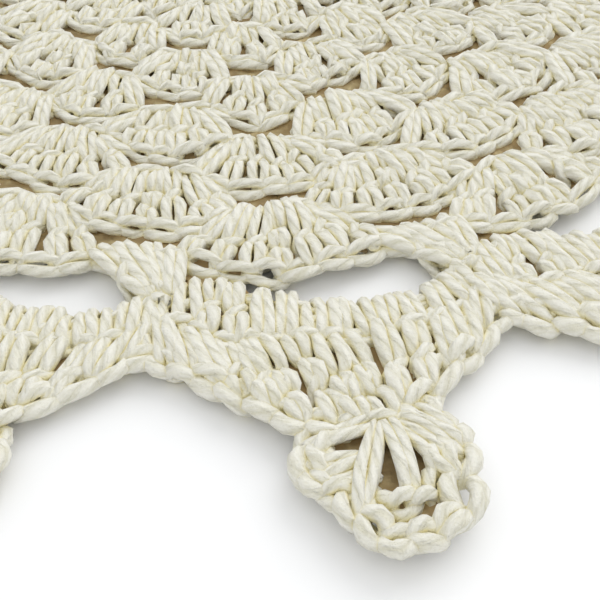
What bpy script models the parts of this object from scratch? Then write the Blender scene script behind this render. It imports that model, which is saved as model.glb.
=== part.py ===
"""A round crocheted cotton doily, lying flat, with a scalloped edge.

The whole mat is one piece of work, so it is one closed solid as thick as the crocheted fabric. The ground is
a flat disc. Outside it, a wreath of eighteen scallops is worked over long chain arches, which leave one open
crescent each between the ground and the wreath. Every scallop narrows to a neck and ends in a round lobe.
The wreath is a little uneven: each lobe leans, reaches and lifts by its own small amount.

Sizes are in metres. Z is up, the underside of the ground is at Z = 0, and the centre of the mat is on the
Z axis. An angle is measured at the centre from -Y towards +X. Within a scallop, "along" is the distance
around the mat from the scallop's middle line, and "radius" is the distance from the centre.
"""

import math

import bmesh
import bpy

MM = 0.001

# The mat
SCALLOPS = 18
FIRST_SCALLOP_ANGLE = 9.4      # degrees, middle line of scallop 0
THICKNESS = 3.4 * MM           # crocheted fabric, about two and a quarter yarns
GROUND_MIDDLE_RADIUS = 60 * MM  # ring where the rows of faces of the ground begin

# The crescent opening under each arch
ARCH_RADIUS = 111.5 * MM       # where the ground and the wreath meet beside the opening
OPENING_FIRST_COLUMN = 5       # the columns of the faceted surface at its two pointed ends
OPENING_LAST_COLUMN = 14
OPENING_INWARD = 5.4 * MM      # deepest cut into the ground
OPENING_OUTWARD = 4.7 * MM     # deepest cut into the wreath
OPENING_SKEW = 1.25            # above 1 moves the widest place towards the end

# The wreath
VALLEY_RADIUS = 124 * MM       # between two scallops
NECK_RADIUS = 132.5 * MM       # where a scallop has narrowed to its lobe
NECK_START = -7.0 * MM         # along
NECK_END = 10.0 * MM           # along
SIDE_BULGE = 0.8 * MM          # the sides from valley to neck are slightly rounded

# The lobe is an ellipse that is cut off by the neck
LOBE_MIDDLE_ALONG = 2.0 * MM
LOBE_MIDDLE_RADIUS = 141.3 * MM
LOBE_HALF_WIDTH = 10.6 * MM
LOBE_HALF_LENGTH = 9.6 * MM
LOBE_START_ANGLE = 222         # degrees on the ellipse, at the neck's start
LOBE_END_ANGLE = -46           # degrees on the ellipse, at the neck's end

# Unevenness of the wreath: the most that a lobe leans aside, reaches out and lifts
LEAN = 3.0 * MM
REACH = 0.9 * MM
LIFT = 1.6 * MM

# Steps of the faceted surface, in each scallop
SIDE_STEPS = 3
LOBE_STEPS = 9
COLUMNS = 2 * SIDE_STEPS + LOBE_STEPS

COTTON_COLOUR = (0.76, 0.73, 0.60, 1.0)
COTTON_ROUGHNESS = 0.9


def clear_scene():
    """Remove what the scene holds at the start."""
    for old in list(bpy.data.objects):
        bpy.data.objects.remove(old, do_unlink=True)


def between(start, end, share):
    """The value at a share of the way from start to end."""
    return start + (end - start) * share


def half_pitch(radius):
    """Half the distance around the mat from one scallop to the next, at a radius."""
    return math.pi * radius / SCALLOPS


def unevenness(scallop):
    """How far the lobe of one scallop leans, reaches and lifts."""
    lean = LEAN * math.sin(2.5 * scallop)
    reach = REACH * math.sin(1.7 * scallop + 0.6)
    lift = LIFT * (0.55 + 0.45 * math.sin(3.1 * scallop + 1.0))
    return lean, reach, lift


def place(scallop, along, radius):
    """The point of a scallop at a distance along and a radius, on the underside of the mat."""
    lean, reach, lift = unevenness(scallop)
    tip_radius = LOBE_MIDDLE_RADIUS + LOBE_HALF_LENGTH
    outward = max(0.0, (radius - ARCH_RADIUS) / (tip_radius - ARCH_RADIUS))
    share = outward * outward
    angle = math.radians(FIRST_SCALLOP_ANGLE + scallop * 360 / SCALLOPS) + (along + lean * share) / radius
    far = radius + reach * share
    return far * math.sin(angle), -far * math.cos(angle), lift * share


def opening_share(column):
    """How far the crescent is open at a column, from 0 at its ends to 1 at its widest."""
    share = (column - OPENING_FIRST_COLUMN) / (OPENING_LAST_COLUMN - OPENING_FIRST_COLUMN)
    if share <= 0 or share >= 1:
        return 0.0
    return math.sin(math.pi * share ** OPENING_SKEW)


def arch_along(column):
    """The distance along at which a column crosses the arch."""
    return between(-half_pitch(ARCH_RADIUS), half_pitch(ARCH_RADIUS), column / COLUMNS)


def wreath_edge(column):
    """Along and radius where a column reaches the side of the scallop or its neck."""
    if column <= SIDE_STEPS:
        share = column / SIDE_STEPS
        along = between(-half_pitch(VALLEY_RADIUS), NECK_START, share)
    elif column < SIDE_STEPS + LOBE_STEPS:
        share = (column - SIDE_STEPS) / LOBE_STEPS
        return between(NECK_START, NECK_END, share), NECK_RADIUS
    else:
        share = (COLUMNS - column) / SIDE_STEPS
        along = between(half_pitch(VALLEY_RADIUS), NECK_END, share)
    radius = between(VALLEY_RADIUS, NECK_RADIUS, share) + SIDE_BULGE * math.sin(math.pi * share)
    return along, radius


def lobe_edge(step):
    """Along and radius of one point on the rim of the lobe."""
    angle = math.radians(between(LOBE_START_ANGLE, LOBE_END_ANGLE, step / LOBE_STEPS))
    along = LOBE_MIDDLE_ALONG + LOBE_HALF_WIDTH * math.cos(angle)
    return along, LOBE_MIDDLE_RADIUS + LOBE_HALF_LENGTH * math.sin(angle)


def underside_columns(mesh, scallop):
    """Make the points of one scallop's columns, each from the ground's middle ring out to the edge."""
    columns = []
    for column in range(COLUMNS):
        along = arch_along(column)
        open_share = opening_share(column)
        inner = (along * GROUND_MIDDLE_RADIUS / ARCH_RADIUS, GROUND_MIDDLE_RADIUS)
        ground_edge = (along, ARCH_RADIUS - OPENING_INWARD * open_share)
        arch = (along, ARCH_RADIUS + OPENING_OUTWARD * open_share)
        edge = wreath_edge(column)
        half_way = (between(arch[0], edge[0], 0.5), between(arch[1], edge[1], 0.5))
        points = [mesh.verts.new(place(scallop, *spot)) for spot in (inner, ground_edge)]
        arch_point = mesh.verts.new(place(scallop, *arch)) if open_share > 0 else points[-1]
        points.append(arch_point)
        points += [mesh.verts.new(place(scallop, *spot)) for spot in (half_way, edge)]
        columns.append(points)
    return columns


def fill_strip(mesh, left, right):
    """Fill the faces between two columns, leaving out the crescent opening."""
    inner, ground_edge, arch = 0, 1, 2
    mesh.faces.new((left[inner], right[inner], right[ground_edge], left[ground_edge]))
    for row in range(arch, len(left) - 1):
        mesh.faces.new((left[row], right[row], right[row + 1], left[row + 1]))


def fill_lobe(mesh, scallop, neck):
    """Fill the lobe between the points of the neck and its round rim."""
    rim = [neck[0]]
    rim += [mesh.verts.new(place(scallop, *lobe_edge(step))) for step in range(1, LOBE_STEPS)]
    rim.append(neck[-1])
    for step in range(LOBE_STEPS):
        corners = [neck[step], neck[step + 1], rim[step + 1], rim[step]]
        mesh.faces.new(list(dict.fromkeys(corners)))


def underside():
    """The underside of the mat as one open sheet."""
    mesh = bmesh.new()
    columns = []
    for scallop in range(SCALLOPS):
        columns += underside_columns(mesh, scallop)
    for index, left in enumerate(columns):
        fill_strip(mesh, left, columns[(index + 1) % len(columns)])
    for scallop in range(SCALLOPS):
        first = scallop * COLUMNS + SIDE_STEPS
        fill_lobe(mesh, scallop, [column[-1] for column in columns[first:first + LOBE_STEPS + 1]])
    mesh.faces.new([column[0] for column in columns])
    return mesh


def thicken(mesh):
    """Close the sheet into a solid that stands its thickness above the underside."""
    for face in mesh.faces:
        if face.normal.z > 0:
            face.normal_flip()
    copied = bmesh.ops.duplicate(mesh, geom=mesh.verts[:] + mesh.edges[:] + mesh.faces[:])
    above = copied["vert_map"]
    upper_faces = [item for item in copied["geom"] if isinstance(item, bmesh.types.BMFace)]
    lower_verts = [vert for vert in mesh.verts if vert not in copied["geom"]]
    for vert in lower_verts:
        above[vert].co.z += THICKNESS
    bmesh.ops.reverse_faces(mesh, faces=upper_faces)
    lower_edges = [edge for edge in mesh.edges if edge.is_boundary and edge.verts[0] in lower_verts]
    for edge in lower_edges:
        first, second = edge.verts
        mesh.faces.new((first, second, above[second], above[first]))


def cotton():
    """Matt natural cotton."""
    material = bpy.data.materials.new("natural_cotton")
    material.use_nodes = True
    shader = material.node_tree.nodes["Principled BSDF"]
    shader.inputs["Base Color"].default_value = COTTON_COLOUR
    shader.inputs["Roughness"].default_value = COTTON_ROUGHNESS
    shader.inputs["Metallic"].default_value = 0.0
    return material


def make_doily():
    """The whole mat as one object."""
    mesh = underside()
    mesh.normal_update()
    thicken(mesh)
    bmesh.ops.recalc_face_normals(mesh, faces=mesh.faces[:])
    data = bpy.data.meshes.new("doily")
    mesh.to_mesh(data)
    mesh.free()
    data.materials.append(cotton())
    doily = bpy.data.objects.new("doily", data)
    bpy.context.scene.collection.objects.link(doily)


clear_scene()
make_doily()
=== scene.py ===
"""Looks of the round crocheted cotton doily.

Every stitch is modelled as the yarn really runs. A round of the doily is one continuous yarn: chain loops
lie along its top edge, each pulled through the one before. Between two loops the yarn either takes the short
way behind (a chain stitch) or goes down and back as a post (a double crochet), around what lies below.

The doily has eighteen repeats. A spot is written as (along, radius, height) in yarn diameters: along is the
distance around the doily from the middle line of a repeat, radius the distance from the centre, and height
the distance above the table. Arrays of spots have the shape (spots, repeats, 3).
"""
import math

import bmesh
import bpy
import numpy as np
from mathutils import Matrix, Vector


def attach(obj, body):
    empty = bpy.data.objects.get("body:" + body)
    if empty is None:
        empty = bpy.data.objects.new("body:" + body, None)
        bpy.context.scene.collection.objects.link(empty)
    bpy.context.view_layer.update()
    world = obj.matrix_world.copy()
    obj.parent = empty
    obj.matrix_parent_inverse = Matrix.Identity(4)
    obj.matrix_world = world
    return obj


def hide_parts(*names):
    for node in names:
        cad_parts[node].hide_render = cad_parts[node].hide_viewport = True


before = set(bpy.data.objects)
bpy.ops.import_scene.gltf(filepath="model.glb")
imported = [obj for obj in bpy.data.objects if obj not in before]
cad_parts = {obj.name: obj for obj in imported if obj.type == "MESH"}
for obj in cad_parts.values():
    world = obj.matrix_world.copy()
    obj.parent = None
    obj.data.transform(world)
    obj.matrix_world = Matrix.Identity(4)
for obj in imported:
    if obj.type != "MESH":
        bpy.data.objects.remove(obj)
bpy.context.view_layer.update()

YARN = 0.0015                  # diameter of the yarn, in metres
MM = 0.001 / YARN              # one millimetre, in yarn diameters

# Placing of a repeat, as in the CAD part
REPEATS = 18
FIRST_REPEAT_ANGLE = math.radians(9.4)
ARCH_RADIUS = 111.5 * MM
TIP_RADIUS = 150.9 * MM
LEAN = 3.0 * MM
REACH = 0.9 * MM
LIFT = 1.6 * MM

# The swept yarn
SIDES = 6                      # of the strand's skin
GROUND_SIDES = 5               # and of the ground's, where every yarn closes into a ring
FINE_STEPS = 10                # in which a stretch between two spots is measured
STRAIGHT_STEP = 1.5            # distance between rings on a straight stretch
BEND_STEP = math.radians(52)   # turn between rings on a bend
PLUMPNESS = 1.16               # the strands are this much thicker than the tables say
LOWEST = 0.5                   # the yarn's middle keeps this far above the table
TABLE_GAP = 0.00005            # and its skin this far, in metres, so the soft yarn lies flat on the table
NEARLY_UP = (0.05, 0.03, 1.0)  # the first normal, tipped a little so that no yarn can run along it
LEAST_GAP = 0.02               # keeps two knots of the spline apart, even if their spots meet
LENGTH_APART = 37.0            # between the lengths of two open yarns, so that their plies lie differently

# How dense the rings are, as a share of the steps above
NEAR_DETAIL = 0.8              # the outer rounds of the ground, which show best
FAR_DETAIL = 0.45              # the other rounds of the ground
WREATH_DETAIL = 0.84

# Unevenness of the stitches
TILT_SPREAD = 0.26             # of a loop, in radians
UNEVEN = (0.74, 1.30)          # lowest and highest scale of a loop's width, and of where a post's middle is
PLUMP_SPREAD = 0.05            # of a whole post's thickness
THICKNESS_SPREAD = 0.055       # along the yarn
ROUGHEN = 0.045                # how uneven the strand's skin is, as a share of its radius

GROUND_SEED = 18
WREATH_SEED = 3                # its own, so that a change of the ground leaves the wreath as it is
random = np.random.default_rng(GROUND_SEED)


# ---------------------------------------------------------------- placing

def repeat_pitch(radius):
    """Distance around the doily from one repeat to the next."""
    return 2 * math.pi * radius / REPEATS


def place(spots):
    """World points of an array of spots, with the lean, reach and lift of each lobe."""
    repeat = np.arange(REPEATS)
    lean = LEAN * np.sin(2.5 * repeat)
    reach = REACH * np.sin(1.7 * repeat + 0.6)
    lift = LIFT * (0.55 + 0.45 * np.sin(3.1 * repeat + 1.0))
    along, radius, height = spots[..., 0], spots[..., 1], spots[..., 2]
    share = np.maximum(0, (radius - ARCH_RADIUS) / (TIP_RADIUS - ARCH_RADIUS)) ** 2
    angle = FIRST_REPEAT_ANGLE + repeat * 2 * math.pi / REPEATS + (along + lean * share) / radius
    far = radius + reach * share
    return np.stack([far * np.sin(angle), -far * np.cos(angle), height + lift * share], -1) * YARN


def next_repeat(spots):
    """The same spots of the next repeat, written in the coordinates of this one."""
    rolled = np.roll(spots, -1, axis=-2).copy()
    rolled[..., 0] += repeat_pitch(rolled[..., 1])
    return rolled


def spots_of(table, jitter):
    """An array of spots from rows of (along, radius, height), each repeat a little different.

    A spot strays half as far up and down as it does sideways.
    """
    rows = np.array(table, float)
    return rows[:, None, :] + random.normal(0, jitter, (len(rows), REPEATS, 3)) * (1, 1, 0.5)


# ---------------------------------------------------------------- yarn

class Piece:
    """Collects swept yarns and makes one mesh object of them."""

    def __init__(self, name, sides=SIDES):
        self.name = name
        self.sides = sides
        self.points, self.faces, self.lengths, self.turns = [], [], [], []
        self.count = 0
        self.yarn_length = 0.0

    def add(self, rings, lengths, closed):
        """Add one swept yarn: rings is (rings, sides, 3), lengths the distance along it of each ring."""
        count = len(rings)
        first = np.arange(count if closed else count - 1)
        second = (first + 1) % count
        side = np.arange(self.sides)
        other = (side + 1) % self.sides
        quads = np.stack([
            first[:, None] * self.sides + side, first[:, None] * self.sides + other,
            second[:, None] * self.sides + other, second[:, None] * self.sides + side], -1)
        gap = np.linalg.norm(rings[-1].mean(0) - rings[0].mean(0)) / YARN
        ahead = np.append(lengths[1:], lengths[-1] + gap)[first]
        turn = side / self.sides
        self.lengths.append(np.stack([
            np.broadcast_to(lengths[first][:, None], quads.shape[:2]),
            np.broadcast_to(lengths[first][:, None], quads.shape[:2]),
            np.broadcast_to(ahead[:, None], quads.shape[:2]),
            np.broadcast_to(ahead[:, None], quads.shape[:2])], -1).reshape(-1))
        corner_turn = np.stack([turn, turn + 1 / self.sides, turn + 1 / self.sides, turn], -1)
        self.turns.append(np.broadcast_to(corner_turn, quads.shape).reshape(-1))
        self.faces.append(quads.reshape(-1, 4) + self.count)
        self.points.append(rings.reshape(-1, 3))
        if not closed:
            self.cap(rings, lengths)
        self.count += count * self.sides
        self.yarn_length += (lengths[-1] - lengths[0]) * YARN

    def cap(self, rings, lengths):
        """Close both ends of a six-sided yarn with two quads each."""
        last = (len(rings) - 1) * self.sides
        for start, order in ((0, (3, 2, 1, 0, 0, 5, 4, 3)), (last, (0, 1, 2, 3, 3, 4, 5, 0))):
            self.faces.append(np.array(order).reshape(2, 4) + start + self.count)
            self.lengths.append(np.full(8, lengths[0 if start == 0 else -1]))
            self.turns.append(np.zeros(8))

    def build(self, material):
        """Make the mesh object."""
        points = np.concatenate(self.points)
        faces = np.concatenate(self.faces)
        mesh = bpy.data.meshes.new(self.name)
        mesh.vertices.add(len(points))
        mesh.vertices.foreach_set("co", points.astype(np.float32).ravel())
        mesh.loops.add(faces.size)
        mesh.loops.foreach_set("vertex_index", faces.astype(np.int32).ravel())
        mesh.polygons.add(len(faces))
        mesh.polygons.foreach_set("loop_start", np.arange(0, faces.size, 4, dtype=np.int32))
        mesh.update(calc_edges=True)
        mesh.polygons.foreach_set("use_smooth", np.ones(len(faces), bool))
        layer = mesh.uv_layers.new(name="yarn")
        uv = np.stack([np.concatenate(self.lengths), np.concatenate(self.turns)], -1)
        layer.data.foreach_set("uv", uv.astype(np.float32).ravel())
        mesh.materials.append(material)
        piece = bpy.data.objects.new(self.name, mesh)
        bpy.context.scene.collection.objects.link(piece)
        return piece


def spline_points(around, knots, segment, t):
    """Points on the Catmull-Rom spline. around is (spots, repeats, 3), with one more spot at each end."""
    t = t[:, None, None]
    p0, p1, p2, p3 = (around[segment + i] for i in range(4))
    k0, k1, k2, k3 = (knots[segment + i][:, None, None] for i in range(4))
    m1 = (k2 - k1) * ((p1 - p0) / (k1 - k0) - (p2 - p0) / (k2 - k0)) + (p2 - p1)
    m2 = (k2 - k1) * ((p3 - p2) / (k3 - k2) - (p3 - p1) / (k3 - k1)) + (p2 - p1)
    return ((2 * t ** 3 - 3 * t ** 2 + 1) * p1 + (t ** 3 - 2 * t ** 2 + t) * m1
            + (3 * t ** 2 - 2 * t ** 3) * p2 + (t ** 3 - t ** 2) * m2)


def ring_places(around, knots, segments, detail):
    """Where rings go, as segments and shares of them: close together on bends, further apart on straights."""
    segment = np.repeat(np.arange(segments), FINE_STEPS)
    t = np.tile(np.arange(FINE_STEPS) / FINE_STEPS, segments)
    line = spline_points(around[:, :1], knots, segment, t)[:, 0] / YARN
    step = np.diff(line, axis=0)
    length = np.linalg.norm(step, axis=1)
    along = step / length[:, None]
    turn = np.arccos(np.clip((along[1:] * along[:-1]).sum(1), -1, 1))
    cost = length / STRAIGHT_STEP
    cost[1:] += turn / BEND_STEP
    total = np.concatenate([[0], np.cumsum(cost)]) * detail
    wanted = np.arange(0, total[-1], total[-1] / round(total[-1]))
    place_on_line = np.interp(wanted, total, np.arange(len(line)) / FINE_STEPS)
    segment = np.minimum(place_on_line.astype(int), segments - 1)
    return segment, place_on_line - segment


def across(vectors, tangent):
    """The unit vectors nearest to these that stand across the tangent."""
    flat = vectors - (vectors * tangent).sum(-1, keepdims=True) * tangent
    return flat / np.linalg.norm(flat, axis=-1, keepdims=True)


def extended(points, closed, after=1):
    """The points of a yarn with one more before them and one or more after them.

    Those of a closed yarn come from the repeats beside it. An open yarn goes straight on at both ends.
    """
    if closed:
        before = np.roll(points[-1:], 1, axis=1)
        return np.concatenate([before, points, np.roll(points[:after], -1, axis=1)])
    return np.concatenate([2 * points[:1] - points[1:2], points, 2 * points[-1:] - points[-2:-1]])


def spread_twist(normal, tangent):
    """Turn the normals evenly, so that each repeat of a closed yarn ends as the next one starts."""
    start = np.roll(normal[0], -1, axis=0)
    end_tangent = np.roll(tangent[0], -1, axis=0)
    end = across(normal[-1], end_tangent)
    angle = np.arctan2((np.cross(end, start) * end_tangent).sum(-1), (end * start).sum(-1))
    share = (np.arange(len(normal)) / len(normal))[:, None, None]
    turn = angle[None, :, None] * share
    return normal * np.cos(turn) + np.cross(tangent, normal) * np.sin(turn)


def ring_normals(tangent, closed):
    """A direction across the yarn for each ring. It turns as little as it can from ring to ring."""
    normal = np.empty_like(tangent)
    normal[0] = across(np.broadcast_to(NEARLY_UP, tangent[0].shape), tangent[0])
    for i in range(1, len(tangent)):
        normal[i] = across(normal[i - 1], tangent[i])
    return spread_twist(normal, tangent) if closed else normal


def ring_points(centres, radius, normal, tangent, sides):
    """Points of the skin around the centres, a little uneven and never below the table."""
    side_way = np.cross(tangent, normal)
    angle = np.arange(sides) * 2 * math.pi / sides
    skin = radius[:, :, None, None] * (1 + random.normal(0, ROUGHEN, (*radius.shape, sides, 1)))
    rings = centres[:, :, None] + skin * (
        np.cos(angle)[:, None] * normal[:, :, None] + np.sin(angle)[:, None] * side_way[:, :, None])
    rings[..., 2] = np.maximum(rings[..., 2], TABLE_GAP)
    return rings


def sweep(piece, spots, thickness, closed, detail):
    """Sweep yarn along spots (spots, repeats, 3). A closed yarn runs on from each repeat into the next."""
    around = extended(place(spots), closed, after=2)
    segments = len(around) - 3
    gaps = np.sqrt(np.linalg.norm(np.diff(around, axis=0), axis=-1).mean(1) / YARN) + LEAST_GAP
    knots = np.concatenate([[0], np.cumsum(gaps)])
    segment, t = ring_places(around, knots, segments, detail)
    if not closed:
        segment, t = np.append(segment, segments - 1), np.append(t, 1.0)
    centres = spline_points(around, knots, segment, t)
    width = np.concatenate([thickness, thickness[:1]])
    share = t[:, None]
    radius = (width[segment] * (1 - share) + width[segment + 1] * share) * PLUMPNESS * YARN / 2
    line = extended(centres, closed)
    tangent = line[2:] - line[:-2]
    tangent /= np.linalg.norm(tangent, axis=-1, keepdims=True)
    rings = ring_points(centres, radius, ring_normals(tangent, closed), tangent, piece.sides)
    step = np.linalg.norm(np.diff(line, axis=0), axis=-1)[:-1] / YARN
    if closed:
        step = step.T.reshape(-1)
        step[0] = 0
        piece.add(rings.transpose(1, 0, 2, 3).reshape(-1, piece.sides, 3), np.cumsum(step), True)
    else:
        step[0] = 0
        lengths = np.cumsum(step, axis=0)
        for repeat in range(REPEATS):
            piece.add(rings[:, repeat], lengths[:, repeat] + LENGTH_APART * repeat, False)


# ---------------------------------------------------------------- stitches

# A chain loop, from its foot to its head and back. Columns: share of the pitch, sideways, forward, thickness.
# Forward is the way that the V of the stitch looks.
LOOP = (
    (-0.12, 0.10, -0.45, 0.87),
    (0.14, 0.48, 0.22, 0.99),
    (0.58, 0.82, 0.46, 1.12),
    (1.02, 0.60, 0.14, 1.0),
    (1.24, 0.0, -0.34, 0.88),
    (1.02, -0.60, 0.14, 1.0),
    (0.58, -0.82, 0.46, 1.12),
    (0.14, -0.48, 0.22, 0.99),
    (-0.12, -0.10, -0.45, 0.87),
)

# The bump behind a chain stitch, from one loop to the next.
BUMP = (
    (0.25, -0.06, -1.10, 0.95),
    (0.62, 0.04, -1.08, 0.95),
)

# A post between two loops. Columns: across the post, share of its height, further up, forward, thickness.
# The yarn wraps around, goes under what it is worked on, and comes up and down in front as two long legs.
SHORT_POST = (
    (-0.62, 0.82, 0.0, -0.55, 0.9),
    (-0.78, 0.60, 0.0, -0.10, 0.9),
    (-0.36, 0.50, 0.0, 0.40, 0.93),
    (0.36, 0.42, 0.0, 0.40, 0.93),
    (0.76, 0.34, 0.0, -0.15, 0.9),
    (0.30, 0.22, 0.0, -0.66, 0.9),
    (-0.12, 0.04, 0.0, -0.74, 0.9),
    (-0.36, 0.0, -0.92, -0.20, 0.92),
    (-0.52, 0.0, -0.70, 0.55, 0.95),
    (-0.52, 0.20, 0.0, 0.78, 1.04),
    (-0.52, 0.52, 0.0, 0.74, 1.07),
    (-0.48, 0.82, 0.0, 0.62, 0.99),
    (-0.26, 0.98, 0.0, 0.0, 0.89),
    (0.22, 0.98, 0.0, 0.0, 0.89),
    (0.48, 0.82, 0.0, 0.60, 0.99),
    (0.52, 0.52, 0.0, 0.72, 1.07),
    (0.52, 0.20, 0.0, 0.76, 1.04),
    (0.50, 0.0, -0.70, 0.52, 0.95),
    (0.30, 0.0, -0.92, -0.20, 0.92),
    (0.22, 0.14, 0.0, -0.72, 0.9),
    (0.06, 0.50, 0.0, -0.70, 0.9),
    (0.0, 0.84, 0.0, -0.62, 0.9),
)

# A plain post is only pulled through in one long step. Columns as above.
PLAIN_POST = (
    (-0.30, 0.60, 0.0, -0.62, 0.9),
    (-0.20, 0.10, 0.0, -0.70, 0.9),
    (-0.36, 0.0, -0.90, -0.20, 0.92),
    (-0.54, 0.0, -0.60, 0.52, 0.96),
    (-0.56, 0.25, 0.0, 0.84, 1.1),
    (-0.52, 0.60, 0.0, 0.80, 1.12),
    (-0.46, 0.86, 0.0, 0.60, 1.0),
    (-0.24, 0.98, 0.0, 0.0, 0.89),
    (0.24, 0.98, 0.0, 0.0, 0.89),
    (0.48, 0.82, 0.0, 0.60, 1.0),
    (0.54, 0.52, 0.0, 0.78, 1.12),
    (0.54, 0.20, 0.0, 0.80, 1.08),
    (0.46, 0.0, -0.60, 0.50, 0.96),
    (0.26, 0.0, -0.90, -0.20, 0.92),
    (0.22, 0.20, 0.0, -0.72, 0.92),
    (0.10, 0.55, 0.0, -0.66, 0.9),
    (0.0, 0.86, 0.0, -0.60, 0.9),
)

# A tall post is closed in steps, one above the other. The wrap comes first and goes down behind, the first
# step goes up and down again, and each further step starts where the one below it ends. Columns as above, but
# the shares of the steps are shares of one step.
TALL_WRAP = (
    (-0.82, 0.72, 0.0, -0.50, 0.92),
    (-0.80, 0.62, 0.0, 0.05, 0.94),
    (-0.26, 0.55, 0.0, 0.62, 1.0),
    (0.46, 0.46, 0.0, 0.62, 1.0),
    (0.84, 0.38, 0.0, 0.0, 0.94),
    (0.40, 0.26, 0.0, -0.66, 0.92),
    (-0.10, 0.08, 0.0, -0.74, 0.92),
    (-0.36, 0.0, -0.90, -0.20, 0.92),
)
FIRST_STEP = (
    (-0.54, 0.0, -0.60, 0.52, 0.96),
    (-0.60, 0.42, 0.0, 0.82, 1.13),
    (-0.54, 0.78, 0.0, 0.56, 1.02),
    (-0.30, 1.0, 0.0, 0.02, 0.9),
    (0.32, 1.0, 0.0, 0.02, 0.9),
    (0.56, 0.76, 0.0, 0.54, 1.02),
    (0.58, 0.38, 0.0, 0.80, 1.13),
    (0.44, 0.0, -0.60, 0.50, 0.96),
    (0.24, 0.0, -0.90, -0.20, 0.92),
    (0.22, 0.32, 0.0, -0.72, 0.92),
    (0.0, 0.80, 0.0, -0.45, 0.9),
)
FURTHER_STEP = (
    (-0.40, 0.04, 0.0, 0.20, 0.94),
    (-0.58, 0.42, 0.0, 0.80, 1.12),
    (-0.50, 0.76, 0.0, 0.56, 1.0),
    (-0.26, 0.98, 0.0, 0.0, 0.89),
    (0.26, 0.98, 0.0, 0.0, 0.89),
    (0.52, 0.72, 0.0, 0.56, 1.0),
    (0.54, 0.34, 0.0, 0.76, 1.12),
    (0.18, 0.0, 0.0, 0.05, 0.92),
    (0.12, 0.24, 0.0, -0.60, 0.9),
    (0.02, 0.70, 0.0, -0.64, 0.9),
)


PLAIN_ABOVE = 4.2              # height from which a plain post can be pulled through
# A post that is taller than the first number of a pair is closed in as many steps as the second says
STEPPED = ((8.0, 3), (5.6, 2))
PLUMPEST_LOOP = 1.2            # a wide loop is at most so much thicker than its table says
FOOT_SLIMMING = 0.35           # a post is so much thinner at a foot without width


def tall_post(steps):
    """The table of a post with this many steps."""
    rows = list(TALL_WRAP)
    for step in range(steps):
        for side, share, further, forward, thick in FURTHER_STEP if step else FIRST_STEP:
            rows.append((side, (step + share) / steps, further, forward, thick))
    return rows


def post_table(height, plain):
    """The table of a post of this height."""
    if plain and height > PLAIN_ABOVE:
        return PLAIN_POST
    for lowest, steps in STEPPED:
        if height > lowest:
            return tall_post(steps)
    return SHORT_POST


def loop_frame(foot, head, tilt):
    """Pitch and directions of a chain loop: along it, sideways and forward. tilt is from the sky outwards."""
    way = head - foot
    pitch = np.linalg.norm(way, axis=-1, keepdims=True)
    way = way / pitch
    outward = np.stack([-way[:, 1], way[:, 0], np.zeros(REPEATS)], -1)
    outward /= np.linalg.norm(outward, axis=-1, keepdims=True)
    up = np.cross(way, outward)
    up *= np.sign(up[:, 2:])
    forward = np.sin(tilt) * outward + np.cos(tilt) * up
    sideways = np.cos(tilt) * outward - np.sin(tilt) * up
    return pitch, way, sideways, forward


def chain_spots(table, foot, head, tilt, braid):
    """Spots of the rows of LOOP or BUMP, from one foot to the next. braid is the width of the loop's V."""
    pitch, way, sideways, forward = loop_frame(foot, head, tilt)
    return [foot + way * pitch * share + sideways * side * braid + forward * ahead
            for share, side, ahead, _ in table]


def post_spots(table, base, top, foot, slide):
    """Spots of the rows of a post, from what it is worked on to its top.

    foot is its width at the base, and slide above 1 moves its middle down.
    """
    way = top - base
    height = np.linalg.norm(way[:, :2], axis=-1, keepdims=True)
    upward = way / height
    right = np.stack([upward[:, 1], -upward[:, 0], np.zeros(REPEATS)], -1)
    spots = []
    for side, share, further, forward, _ in table:
        share = share ** slide
        spot = base + upward * (share * height + further) + right * side * (foot + (1 - foot) * share)
        spot[:, 2] += forward
        spots.append(spot)
    return spots


def wander(count, amount):
    """Small smooth wanderings of a yarn off its path."""
    noise = random.normal(0, amount, (count + 2, REPEATS, 3))
    return noise[:-2] * 0.5 + noise[1:-1] * 0.7 + noise[2:] * 0.5


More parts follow.
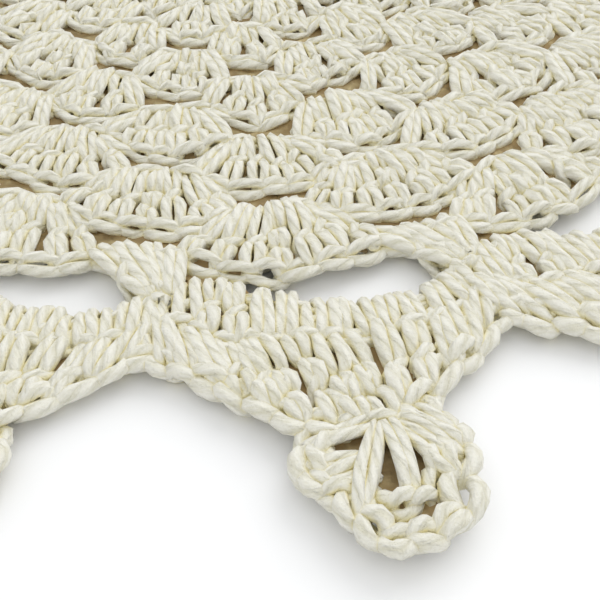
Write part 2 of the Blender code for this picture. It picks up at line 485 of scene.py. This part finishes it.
def crochet(piece, tops, bases, detail, tilt=20, braid=1.0, foot=1.0, slim=1.0, wild=0.1, closed=True,
            plain=False):
    """One yarn: loops between the tops, and a post wherever bases has a spot.

    Both lists have one entry a stitch. tilt is a loop's, in degrees, braid its width, foot a post's width at
    its base, slim a post's thickness, and wild how far the yarn wanders. A yarn that isn't closed ends in
    every repeat, and its posts are plain ones if plain is set.
    """
    count = len(tops)
    tops = list(tops)
    tilt = np.radians(np.broadcast_to(tilt, count))
    braid = np.broadcast_to(braid, count)
    foot = np.broadcast_to(foot, count)
    spots, thickness = [], []
    for i in range(count if closed else count - 1):
        head = tops[i + 1] if i + 1 < count else next_repeat(tops[0])
        after = (i + 1) % count
        loop_tilt = tilt[i] + random.normal(0, TILT_SPREAD, (REPEATS, 1))
        loop_braid = braid[i] * random.uniform(*UNEVEN, (REPEATS, 1))
        spots += chain_spots(LOOP, tops[i], head, loop_tilt, loop_braid)
        thickness += [row[-1] * min(PLUMPEST_LOOP, 0.5 + 0.5 * braid[i]) for row in LOOP]
        if bases[after] is None:
            spots += chain_spots(BUMP, tops[i], head, loop_tilt, loop_braid)
            thickness += [row[-1] for row in BUMP]
        else:
            base = bases[after] if i + 1 < count else next_repeat(bases[after])
            height = np.linalg.norm((head - base)[:, :2], axis=-1).mean()
            table = post_table(height, plain)
            slide = random.uniform(*UNEVEN, (REPEATS, 1))
            spots += post_spots(table, base, head, foot[after], slide)
            plump = random.normal(slim, PLUMP_SPREAD)
            slimming = FOOT_SLIMMING * (1 - foot[after])
            thickness += [row[-1] * plump * (1 - slimming * (1 - row[1])) for row in table]
    spots = np.array(spots) + wander(len(spots), wild)
    spots[..., 2] = np.maximum(spots[..., 2], LOWEST)
    thickness = np.array(thickness)[:, None] * (1 + wander(len(thickness), THICKNESS_SPREAD)[..., 0])
    sweep(piece, spots, thickness, closed, detail)


# ---------------------------------------------------------------- the rounds

MIDDLE_HEIGHT = 1.2            # of the yarn's layers above the table
EVEN_COLUMN = math.radians(7.5) - FIRST_REPEAT_ANGLE
ODD_COLUMN = math.radians(-2.5) - FIRST_REPEAT_ANGLE

# Rounds of the ground, from the last one inwards. Each is a ring of shells, and each shell fans out from
# between two shells of the round below. Columns: radius of the tops, posts in a shell, chains between shells.
GROUND = (
    (71.2, 7, 1),
    (65.6, 7, 1),
    (60.2, 6, 1),
    (54.9, 6, 1),
    (49.6, 5, 1),
    (44.3, 5, 1),
    (39.0, 4, 1),
    (33.7, 4, 0),
    (28.4, 3, 1),
    (23.1, 3, 0),
    (17.8, 2, 0),
    (12.5, 1, 1),
)
SEPARATE_ROUNDS = 4            # the outer rounds, each a piece of its own
BASE_PITCH = 1.35              # between bases of a shell
CHAIN_PITCH = 1.5              # of the chains between shells, in pitches of a shell's tops
RIM_CROWN = 0.9                # the middle of a shell stands out by this
RIM_DROP = 1.1                 # and its ends stand back by this
BASE_CROWN = 0.9               # the outer bases of a shell stand out by this
CHAIN_DROP = 0.35              # the chains between shells stand back by this
BASE_INSET = 0.5               # the bases lie this far inside the ends of the shells below
TOP_LIFT = 0.3                 # the tops of posts lie this far above the middle height
BASE_SINK = 0.05               # their bases this far below it
CHAIN_SINK = 0.1               # and the chains this far below it
GROUND_JITTER = 0.32           # how far a stitch of the ground strays
ROUND_RADIUS = 7.2             # of the tops of the round in the middle
RING_RADIUS = 2.6              # of the ring that it is worked into


def shell(column, radius, base_radius, posts, top_pitch):
    """Tops and bases of the posts of one shell around its column. A pair of posts doesn't fan out."""
    half = (posts - 1) / 2
    fans = posts > 2
    tops, bases = [], []
    for i in range(posts):
        share = (i - half) / max(half, 0.5)
        top_radius = radius + RIM_CROWN - (RIM_CROWN + RIM_DROP) * share * share * fans
        base_lift = BASE_CROWN * abs(share) ** 1.5 * fans
        tops.append((column * top_radius + (i - half) * top_pitch, top_radius, MIDDLE_HEIGHT + TOP_LIFT))
        base_along = column * base_radius + (i - half) * BASE_PITCH
        bases.append((base_along, base_radius + base_lift, MIDDLE_HEIGHT - BASE_SINK))
    return tops, bases


def chains_between(tops, chains):
    """Tops of the chains that lead from the last post of a shell to the first one of the next repeat."""
    start_along, start_radius, _ = tops[-1]
    end_along = tops[0][0] + repeat_pitch(tops[0][1])
    chain_radius = start_radius - CHAIN_DROP
    made = []
    for i in range(chains):
        share = (i + 1) / (chains + 1)
        along = (start_along + (end_along - start_along) * share) * chain_radius / start_radius
        made.append((along, chain_radius, MIDDLE_HEIGHT - CHAIN_SINK))
    return made


def ground_round(piece, index):
    """One round of the ground: a shell of posts and the chains to the next shell, in each repeat."""
    radius, posts, chains = GROUND[index]
    column = EVEN_COLUMN if index % 2 == 0 else ODD_COLUMN
    innermost = index + 1 == len(GROUND)
    base_radius = ROUND_RADIUS if innermost else GROUND[index + 1][0] - RIM_DROP - BASE_INSET
    top_pitch = repeat_pitch(radius) / (posts - 1 + (chains + 1) * CHAIN_PITCH)
    tops, bases = shell(column, radius, base_radius, posts, top_pitch)
    tops += chains_between(tops, chains)
    bases += [None] * chains
    top_spots = spots_of(tops, GROUND_JITTER)
    base_spots = [None if base is None else spots_of([base], GROUND_JITTER * 0.8)[0] for base in bases]
    detail = NEAR_DETAIL if index < SEPARATE_ROUNDS else FAR_DETAIL
    crochet(piece, top_spots, base_spots, detail, tilt=22, braid=0.8, foot=0.85)


def centre_round(piece):
    """The round in the middle: one post a repeat, worked into a ring."""
    tops = spots_of([(0.0, ROUND_RADIUS, MIDDLE_HEIGHT)], 0.06)
    bases = [spots_of([(0.0, RING_RADIUS, MIDDLE_HEIGHT)], 0.03)[0]]
    crochet(piece, tops, bases, FAR_DETAIL, tilt=35)


# Round C: anchors, each a cluster of tall posts on the chains of the last ground round, and long arches
# between them. ARCH has the columns along and radius.
ANCHOR_ALONG = -13.0
ANCHOR_RADIUS = 74.6
ANCHOR_SPREAD = (-3.3, -1.1, 1.1, 3.3)
ANCHOR_TOPS = (-0.75, -0.25, 0.25, 0.75)
ANCHOR_INSET = 0.6             # their bases lie this far inside the ends of the shells
ARCH = ((-11.0, 74.2), (-8.6, 73.9), (-6.2, 74.5), (-3.9, 75.8), (-1.4, 77.1), (1.2, 77.8), (3.8, 78.2),
        (6.4, 78.3), (9.0, 77.8), (11.3, 76.4))


def anchor_round(piece):
    """The arches, which one thin chain carries from anchor to anchor."""
    base_radius = GROUND[0][0] - RIM_DROP - ANCHOR_INSET
    tops, bases = [], []
    for spread, top in zip(ANCHOR_SPREAD, ANCHOR_TOPS):
        tops.append((ANCHOR_ALONG + top, ANCHOR_RADIUS, MIDDLE_HEIGHT + TOP_LIFT))
        bases.append((ODD_COLUMN * base_radius + spread, base_radius, MIDDLE_HEIGHT))
    for along, radius in ARCH:
        tops.append((along, radius, MIDDLE_HEIGHT - CHAIN_SINK))
        bases.append(None)
    top_spots = spots_of(tops, 0.08)
    base_spots = [None if base is None else spots_of([base], 0.1)[0] for base in bases]
    braid = [1.0] * len(ANCHOR_TOPS) + [0.4] * len(ARCH)
    crochet(piece, top_spots, base_spots, WREATH_DETAIL, tilt=20, braid=braid)


# Round D: posts packed over the arch. Columns: along and radius of the base, along and radius of the top.
ROUND_D = (
    (-10.6, 73.8, -11.6, 78.6),
    (-8.6, 73.5, -9.6, 79.3),
    (-6.7, 74.0, -7.6, 79.8),
    (-4.8, 74.9, -5.5, 80.1),
    (-2.9, 75.9, -3.4, 80.3),
    (-1.0, 76.9, -1.3, 80.5),
    (1.0, 77.4, 0.9, 80.6),
    (3.0, 77.7, 3.1, 80.7),
    (5.0, 77.8, 5.3, 80.7),
    (7.0, 77.7, 7.5, 80.5),
    (9.0, 77.2, 9.7, 80.1),
    (10.9, 76.2, 11.8, 79.5),
    (12.8, 74.9, 13.9, 78.8),
)

# Round E: stitches on round D that run together at the foot of the lobe. Columns as for round D, and the
# width of the braid that starts at the top.
ROUND_E = (
    (-13.8, 77.3, -13.6, 80.8, 1.1),
    (-12.9, 78.0, -12.5, 81.9, 1.2),
    (-11.8, 78.8, -10.9, 83.0, 1.2),
    (-10.2, 79.5, -9.0, 84.2, 1.2),
    (-8.6, 79.9, -7.2, 85.6, 1.2),
    (-7.0, 80.0, -5.3, 87.0, 1.1),
    (-5.8, 80.1, -3.3, 88.3, 1.0),
    (-2.6, 80.2, -1.1, 89.1, 0.8),
    (-0.7, 80.5, 0.9, 89.4, 0.6),
    (1.6, 80.6, 2.6, 89.2, 0.7),
    (4.2, 80.7, 4.4, 88.4, 1.1),
    (6.6, 80.5, 6.3, 86.9, 1.2),
    (9.0, 80.2, 8.4, 85.2, 1.2),
    (11.0, 79.6, 10.4, 83.7, 1.1),
    (12.8, 78.9, 12.2, 82.0, 1.0),
)

# Lobe: rim from the left side of its foot to the right side. Columns: along and radius of the rim, along and
# radius of the base of the post that reaches there, if one does, and the width of the braid from there.
LOBE = (
    (-2.2, 89.3, None, 1.1),
    (-3.9, 91.1, (1.0, 89.4), 1.2),
    (-4.2, 93.1, (0.1, 92.2), 1.1),
    (-3.0, 94.5, (-0.3, 93.8), 1.0),
    (-1.4, 95.2, None, 1.0),
    (-1.0, 96.9, (1.4, 89.7), 1.1),
    (-0.2, 98.6, None, 1.1),
    (1.7, 99.2, None, 1.1),
    (3.7, 99.0, None, 1.1),
    (5.4, 97.9, None, 1.2),
    (6.4, 95.1, (3.6, 90.1), 1.2),
    (6.6, 93.0, (4.4, 89.8), 1.2),
    (6.3, 91.0, (4.9, 89.2), 1.1),
    (5.6, 89.4, None, 1.1),
    (4.9, 88.2, None, 1.1),
)

# The lobe has a second, lower row of loops just inside its rim. Columns: along and radius, and the base of
# the post that reaches there, if one does.
INNER_RIM = (
    (-2.6, 91.0, None),
    (-3.1, 92.7, None),
    (-1.7, 93.8, None),
    (-0.1, 94.9, None),
    (0.8, 96.2, None),
    (2.5, 96.5, (2.6, 90.1)),
    (4.1, 96.4, None),
    (5.1, 94.5, None),
    (5.1, 92.6, None),
    (4.7, 90.8, None),
)
BASE_BELOW = 0.2               # a post's base lies this far below its top
INNER_RIM_BELOW = 0.3          # the second row lies this far below the rim
INNER_BASE_BELOW = 0.1         # and the bases of its posts this far


def post_round(piece, table, height, tilt, foot, jitter):
    """A round of posts from a table of bases and tops, and maybe the width of the braid."""
    tops = spots_of([(row[2], row[3], height) for row in table], jitter)
    bases = [spots_of([(row[0], row[1], height - BASE_BELOW)], jitter)[0] for row in table]
    braid = [row[4] if len(row) > 4 else 0.8 for row in table]
    crochet(piece, tops, bases, WREATH_DETAIL, tilt=tilt, braid=braid, foot=foot, wild=0.14)


def lobe(piece, height, tilt, jitter):
    """The lobe of every repeat: posts from its foot and the rim around them."""
    tops = spots_of([(row[0], row[1], height) for row in LOBE], jitter * 1.5)
    bases = [row[2] and spots_of([(*row[2], height - BASE_BELOW)], jitter)[0] for row in LOBE]
    loose = {"foot": 0.4, "slim": 0.92, "wild": 0.17, "closed": False, "plain": True}
    crochet(piece, tops, bases, WREATH_DETAIL, tilt=tilt, braid=[row[3] for row in LOBE], **loose)
    tops = spots_of([(row[0], row[1], height - INNER_RIM_BELOW) for row in INNER_RIM], jitter)
    bases = [row[2] and spots_of([(*row[2], height - INNER_BASE_BELOW)], jitter)[0] for row in INNER_RIM]
    crochet(piece, tops, bases, WREATH_DETAIL, tilt=30, braid=0.9, **loose)


# ---------------------------------------------------------------- inner layer

# The dense middle of the fabric, which shows as the dark of the deep places: its browns are painted shade.
# CORE_EDGE has the columns along and radius.
CORE_COLUMNS = 36              # a repeat
CORE_THICKNESS = 0.4
CORE_GROUND_RADII = (2.0, 24.0, 48.0)
CORE_RIM = 70.4                # radius of the ground's part at the crescents
CORE_START = 0.5               # the outer part starts this far outside the arch's line
CORE_OUTER_ROWS = 5            # from there to the edge
CORE_DEPTH = 0.15              # it lies so much below the middle of the yarn's layers
OPEN_ABOVE = 74.3              # the crescent is open where the arch has this radius or more
OPEN_SHARE = 3.0               # how quickly it opens from there
CORE_EDGE = (
    (-13.2, 78.0), (-11.6, 80.6), (-10.0, 82.6), (-7.6, 84.6), (-5.4, 86.4), (-3.2, 87.8),
    (-3.1, 93.0), (-1.4, 94.2), (-0.3, 96.4), (1.2, 98.2), (3.2, 98.3), (4.5, 97.1),
    (5.5, 94.8), (5.7, 92.0), (6.1, 86.0), (8.0, 84.0), (9.8, 81.8), (11.6, 79.4),
)


def radius_at(angles, line):
    """The radius at each angle of a repeat's line of (along, radius)."""
    known = [along / radius for along, radius in line]
    return np.interp(angles, known, [radius for _, radius in line], period=repeat_pitch(1.0))


def core_rows(column_angle):
    """Radius of each column in each row, from the middle of the doily outwards."""
    edge = radius_at(column_angle, CORE_EDGE)
    arch = radius_at(column_angle, ARCH)
    middle = (CORE_RIM + arch) / 2
    opening = np.maximum(0, arch - OPEN_ABOVE) * OPEN_SHARE
    rows = [np.full(CORE_COLUMNS, radius) for radius in CORE_GROUND_RADII]
    start = np.minimum(arch + CORE_START, middle + opening)
    rows += [np.maximum(CORE_RIM, middle - opening)]
    rows += [start + (edge - start) * share for share in np.linspace(0, 1, CORE_OUTER_ROWS)]
    return np.array(rows)


def core_points():
    """World points of the sheet, row by row and around the doily in each row."""
    column_angle = np.arange(CORE_COLUMNS) / CORE_COLUMNS * repeat_pitch(1.0) - repeat_pitch(1.0) / 2
    radius = core_rows(column_angle)
    height = np.full(radius.shape, MIDDLE_HEIGHT - CORE_DEPTH)
    spots = np.stack([column_angle * radius, radius, height], -1)
    spots = np.broadcast_to(spots.reshape(-1, 1, 3), (radius.size, REPEATS, 3))
    points = place(spots).reshape(len(radius), CORE_COLUMNS, REPEATS, 3)
    return points.transpose(0, 2, 1, 3).reshape(len(radius), -1, 3)


def core_faces(rows, around):
    """Faces of the sheet: the disc in the middle, and the bands between rows but for the crescents' one."""
    crescents = len(CORE_GROUND_RADII)
    faces = [list(range(around))]
    for row in range(rows - 1):
        if row == crescents:
            continue
        for column in range(around):
            after = (column + 1) % around
            faces.append([row * around + column, row * around + after,
                          (row + 1) * around + after, (row + 1) * around + column])
    return faces


def core():
    """A thin sheet in the middle of the yarn, open where the crescents are."""
    points = core_points()
    mesh = bpy.data.meshes.new("core")
    mesh.from_pydata(points.reshape(-1, 3).tolist(), [], core_faces(*points.shape[:2]))
    # The rows on both sides of a crescent meet where it is closed
    joined = bmesh.new()
    joined.from_mesh(mesh)
    bmesh.ops.remove_doubles(joined, verts=joined.verts[:], dist=0.01 * YARN)
    joined.to_mesh(mesh)
    joined.free()
    # The sheet's brown colour is painted shade of the deep places in the fabric
    mesh.materials.append(core_material())
    sheet = bpy.data.objects.new("core", mesh)
    bpy.context.scene.collection.objects.link(sheet)
    thicken = sheet.modifiers.new("thickness", "SOLIDIFY")
    thicken.thickness = CORE_THICKNESS * YARN
    thicken.offset = 0.0
    bpy.context.view_layer.objects.active = sheet
    bpy.ops.object.modifier_apply(modifier=thicken.name)
    return sheet


# ---------------------------------------------------------------- material

# Colours of the cotton on the strands and of the inner layer, each also where it is hidden from the light,
# there as painted shade; the inner layer's browns are painted shade too
COTTON_LIGHT = (0.835, 0.815, 0.72, 1)
COTTON_DARK = (0.70, 0.67, 0.52, 1)
# Painted shade of the strands where they are hidden from the light
COTTON_CREVICE = (0.94, 0.85, 0.46, 1)
# Browns of the inner layer, all painted shade of the deep places
CORE_SHADE_LIGHT = (0.52, 0.43, 0.24, 1)
CORE_SHADE_DARK = (0.27, 0.20, 0.10, 1)
CORE_SHADE_CREVICE = (0.44, 0.31, 0.15, 1)
COTTON_REACH = 0.0011          # how near the cover has to be that hides it, in metres
CORE_REACH = 0.002
HIDDEN_SKY = 0.10              # share of open sky at which the cotton has its hidden colour
SHOWN_SKY = 0.85               # and at which it has its own

# Height of the relief, and how far the lumps of the inner layer are bent out of shape, in metres
COTTON_RELIEF = 0.0003
CORE_RELIEF = 0.0006
CORE_BEND = 0.0012

# The plied yarn. Lengths are in yarn diameters.
PLIES = 3
PLY_TURN = 6.0                 # length in which the plies go around once
FIBRE_ALONG = 0.8              # fibres per length
FIBRE_AROUND = 1.7             # and across the strand


def node(tree, kind, **values):
    """Add a node and set its attributes or unlinked inputs."""
    made = tree.nodes.new(kind)
    for name, value in values.items():
        if hasattr(made, name):
            setattr(made, name, value)
        else:
            made.inputs[name.replace("_", " ")].default_value = value
    return made


def math_node(tree, operation, *values):
    """A Math node on numbers and sockets."""
    made = tree.nodes.new("ShaderNodeMath")
    made.operation = operation
    for slot, value in enumerate(values):
        if isinstance(value, bpy.types.NodeSocket):
            tree.links.new(value, made.inputs[slot])
        else:
            made.inputs[slot].default_value = value
    return made.outputs[0]


def in_crevices(tree, colour, deep, reach):
    """The colour, turning to the deep one where the cotton is hidden from the light."""
    open_sky = node(tree, "ShaderNodeAmbientOcclusion", samples=6, Distance=reach)
    share = node(tree, "ShaderNodeMapRange", From_Min=HIDDEN_SKY, From_Max=SHOWN_SKY)
    tree.links.new(open_sky.outputs["AO"], share.inputs["Value"])
    mix = node(tree, "ShaderNodeMix", data_type="RGBA")
    hidden, shown = [socket for socket in mix.inputs if socket.type == "RGBA"]
    hidden.default_value = deep
    tree.links.new(colour, shown)
    tree.links.new(share.outputs["Result"], mix.inputs["Factor"])
    return [socket for socket in mix.outputs if socket.type == "RGBA"][0]


def new_material(name, roughness, specular):
    """A material with nodes, its node tree and its shader."""
    material = bpy.data.materials.new(name)
    material.use_nodes = True
    shader = material.node_tree.nodes["Principled BSDF"]
    shader.inputs["Roughness"].default_value = roughness
    shader.inputs["Specular IOR Level"].default_value = specular
    return material, material.node_tree, shader


def two_colours(tree, share, dark, light, lowest, highest):
    """The colour between the dark and the light one that a share between lowest and highest gives."""
    ramp = node(tree, "ShaderNodeValToRGB")
    ramp.color_ramp.elements[0].position = lowest
    ramp.color_ramp.elements[0].color = dark
    ramp.color_ramp.elements[1].position = highest
    ramp.color_ramp.elements[1].color = light
    tree.links.new(share, ramp.inputs[0])
    return ramp.outputs[0]


def raise_surface(tree, shader, height, distance):
    """Give the shader the relief of a height."""
    bump = node(tree, "ShaderNodeBump", Strength=1.0, Distance=distance)
    tree.links.new(height, bump.inputs["Height"])
    tree.links.new(bump.outputs[0], shader.inputs["Normal"])


def noise_texture(tree, place_socket, **values):
    """The value of a Noise texture at a place."""
    texture = node(tree, "ShaderNodeTexNoise", **values)
    tree.links.new(place_socket, texture.inputs["Vector"])
    return texture.outputs[0]


def weighted_sum(tree, *parts):
    """The sum of sockets, each times its weight."""
    total = None
    for socket, weight in parts:
        part = math_node(tree, "MULTIPLY", socket, weight)
        total = part if total is None else math_node(tree, "ADD", total, part)
    return total


def core_material():
    """The same cotton, deep inside, with felted fibres, coloured brownish as painted shade of the deep
    places.
    """
    material, tree, shader = new_material("core_painted_shade", 0.95, 0.1)
    place_node = node(tree, "ShaderNodeTexCoord")
    waver = node(tree, "ShaderNodeTexNoise", Scale=900.0, Detail=2.0)
    tree.links.new(place_node.outputs["Object"], waver.inputs["Vector"])
    bent = node(tree, "ShaderNodeVectorMath", operation="MULTIPLY_ADD")
    tree.links.new(waver.outputs["Color"], bent.inputs[0])
    bent.inputs[1].default_value = (CORE_BEND, CORE_BEND, CORE_BEND)
    tree.links.new(place_node.outputs["Object"], bent.inputs[2])
    lumps = node(tree, "ShaderNodeTexVoronoi", feature="SMOOTH_F1", Scale=620.0)
    tree.links.new(bent.outputs[0], lumps.inputs["Vector"])
    felt = node(tree, "ShaderNodeMapRange", From_Min=0.75, From_Max=0.1)
    tree.links.new(lumps.outputs["Distance"], felt.inputs["Value"])
    colour = two_colours(tree, felt.outputs[0], CORE_SHADE_DARK, CORE_SHADE_LIGHT, 0.25, 0.9)
    tree.links.new(in_crevices(tree, colour, CORE_SHADE_CREVICE, CORE_REACH), shader.inputs["Base Color"])
    raise_surface(tree, shader, felt.outputs[0], CORE_RELIEF)
    return material


def ply_bulge(tree, wound):
    """How far the plies stand out, from 0 between two plies to 1. wound is the turns around the strand."""
    ply = math_node(tree, "FRACT", math_node(tree, "MULTIPLY", wound, PLIES))
    centred = math_node(tree, "SUBTRACT", math_node(tree, "MULTIPLY", ply, 2.0), 1.0)
    return math_node(tree, "COSINE", math_node(tree, "MULTIPLY", centred, math.pi / 2))


def fibre_place(tree, length, wound):
    """A place in the noise of the fibres that follows the plies around the strand."""
    angle = math_node(tree, "MULTIPLY", wound, 2 * math.pi)
    cosine = math_node(tree, "COSINE", angle)
    sine = math_node(tree, "SINE", angle)
    made = node(tree, "ShaderNodeCombineXYZ")
    tree.links.new(math_node(tree, "MULTIPLY", length, FIBRE_ALONG), made.inputs[0])
    tree.links.new(math_node(tree, "MULTIPLY", cosine, FIBRE_AROUND), made.inputs[1])
    tree.links.new(math_node(tree, "MULTIPLY", sine, FIBRE_AROUND), made.inputs[2])
    return made.outputs[0]


def cotton_material():
    """Soft plied cotton: three plies that wind around the strand, with fine fibres along them."""
    material, tree, shader = new_material("plied_cotton", 0.88, 0.25)
    shader.inputs["Sheen Weight"].default_value = 0.4
    shader.inputs["Sheen Roughness"].default_value = 0.6
    uv = node(tree, "ShaderNodeUVMap", uv_map="yarn")
    split = node(tree, "ShaderNodeSeparateXYZ")
    tree.links.new(uv.outputs[0], split.inputs[0])
    length, turn = split.outputs[0], split.outputs[1]
    wound = math_node(tree, "ADD", turn, math_node(tree, "DIVIDE", length, PLY_TURN))
    bulge = ply_bulge(tree, wound)
    fibres = noise_texture(tree, fibre_place(tree, length, wound), Scale=1.6, Detail=3.0, Roughness=0.6)
    where = node(tree, "ShaderNodeTexCoord").outputs["Object"]
    patches = noise_texture(tree, where, Scale=160.0, Detail=2.0)
    fuzz = noise_texture(tree, where, Scale=2900.0, Detail=3.0, Roughness=0.65)
    # Colour: the cotton's own uneven tone from fibres, patches and fuzz, with painted shade in the grooves
    # between the plies from the bulge
    tone_and_ply_shade = weighted_sum(tree, (bulge, 0.36), (fibres, 1.1), (patches, 0.3), (fuzz, 0.35))
    tone_and_ply_shade = math_node(tree, "MULTIPLY", tone_and_ply_shade, 0.78)
    colour = two_colours(tree, tone_and_ply_shade, COTTON_DARK, COTTON_LIGHT, 0.60, 1.0)
    tree.links.new(in_crevices(tree, colour, COTTON_CREVICE, COTTON_REACH), shader.inputs["Base Color"])
    relief = weighted_sum(tree, (bulge, 0.8), (fibres, 0.5), (fuzz, 0.8))
    raise_surface(tree, shader, relief, COTTON_RELIEF)
    return material


# ---------------------------------------------------------------- stage, light and camera

# Places are in metres, but the camera's is in yarn diameters.
LAMP_PLACE = (0.40, 0.46, 0.56)
LAMP_AIM = (0, -0.12, 0)
CAMERA_PLACE = (10.7, -132.8, 59.5)
CAMERA_TILT = math.radians(45)  # from looking straight down


def white_table():
    """A plain white table."""
    bpy.ops.mesh.primitive_plane_add(size=6.0)
    top = bpy.context.object
    top.name = "table"
    white = bpy.data.materials.new("table_white")
    white.use_nodes = True
    shader = white.node_tree.nodes["Principled BSDF"]
    shader.inputs["Base Color"].default_value = (0.9, 0.9, 0.9, 1)
    shader.inputs["Roughness"].default_value = 0.7
    top.data.materials.append(white)


def daylight():
    """Even light from all around."""
    world = bpy.data.worlds.new("studio")
    world.use_nodes = True
    background = world.node_tree.nodes["Background"]
    background.inputs["Color"].default_value = (0.98, 0.99, 1.0, 1)
    background.inputs["Strength"].default_value = 0.99
    bpy.context.scene.world = world


def softbox():
    """A large lamp behind the doily, to the right."""
    light = bpy.data.lights.new("softbox", "AREA")
    light.shape = "DISK"
    light.size = 0.9
    light.energy = 3.2
    lamp = bpy.data.objects.new("softbox", light)
    lamp.location = LAMP_PLACE
    lamp.rotation_mode = "QUATERNION"
    lamp.rotation_quaternion = (Vector(LAMP_PLACE) - Vector(LAMP_AIM)).to_track_quat("Z", "Y")
    bpy.context.scene.collection.objects.link(lamp)


def camera():
    """The camera at the photograph's place."""
    lens = bpy.data.cameras.new("camera")
    lens.lens = 60.0
    lens.sensor_width = 36.0
    lens.clip_start = 0.005
    taker = bpy.data.objects.new("camera", lens)
    taker.location = Vector(CAMERA_PLACE) * YARN
    taker.rotation_euler = (CAMERA_TILT, 0, 0)
    bpy.context.scene.collection.objects.link(taker)
    bpy.context.scene.camera = taker
    bpy.context.scene.view_settings.view_transform = "Standard"


# ---------------------------------------------------------------- making

centre = Piece("ground_centre", GROUND_SIDES)
centre_round(centre)
for number in range(len(GROUND) - 1, SEPARATE_ROUNDS - 1, -1):
    ground_round(centre, number)
pieces = [centre]
for number in range(SEPARATE_ROUNDS - 1, -1, -1):
    made = Piece(f"ground_{number}", GROUND_SIDES)
    ground_round(made, number)
    pieces.append(made)
anchors = Piece("arches")
anchor_round(anchors)
random = np.random.default_rng(WREATH_SEED)
inner = Piece("scallops_inner")
post_round(inner, ROUND_D, height=MIDDLE_HEIGHT + 0.1, tilt=15, foot=0.9, jitter=0.16)
outer = Piece("scallops_outer")
post_round(outer, ROUND_E, height=MIDDLE_HEIGHT + 0.15, tilt=10, foot=1.0, jitter=0.2)
lobes = Piece("lobes")
lobe(lobes, height=MIDDLE_HEIGHT + 0.2, tilt=10, jitter=0.12)
pieces += [anchors, inner, outer, lobes]
print("yarn:", round(sum(made.yarn_length for made in pieces), 1), "m")

cotton = cotton_material()
for made in pieces:
    shown = made.build(cotton)
    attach(shown, "root")
    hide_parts("doily")
inner_layer = core()
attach(inner_layer, "root")
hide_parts("doily")
white_table()
daylight()
softbox()
camera()
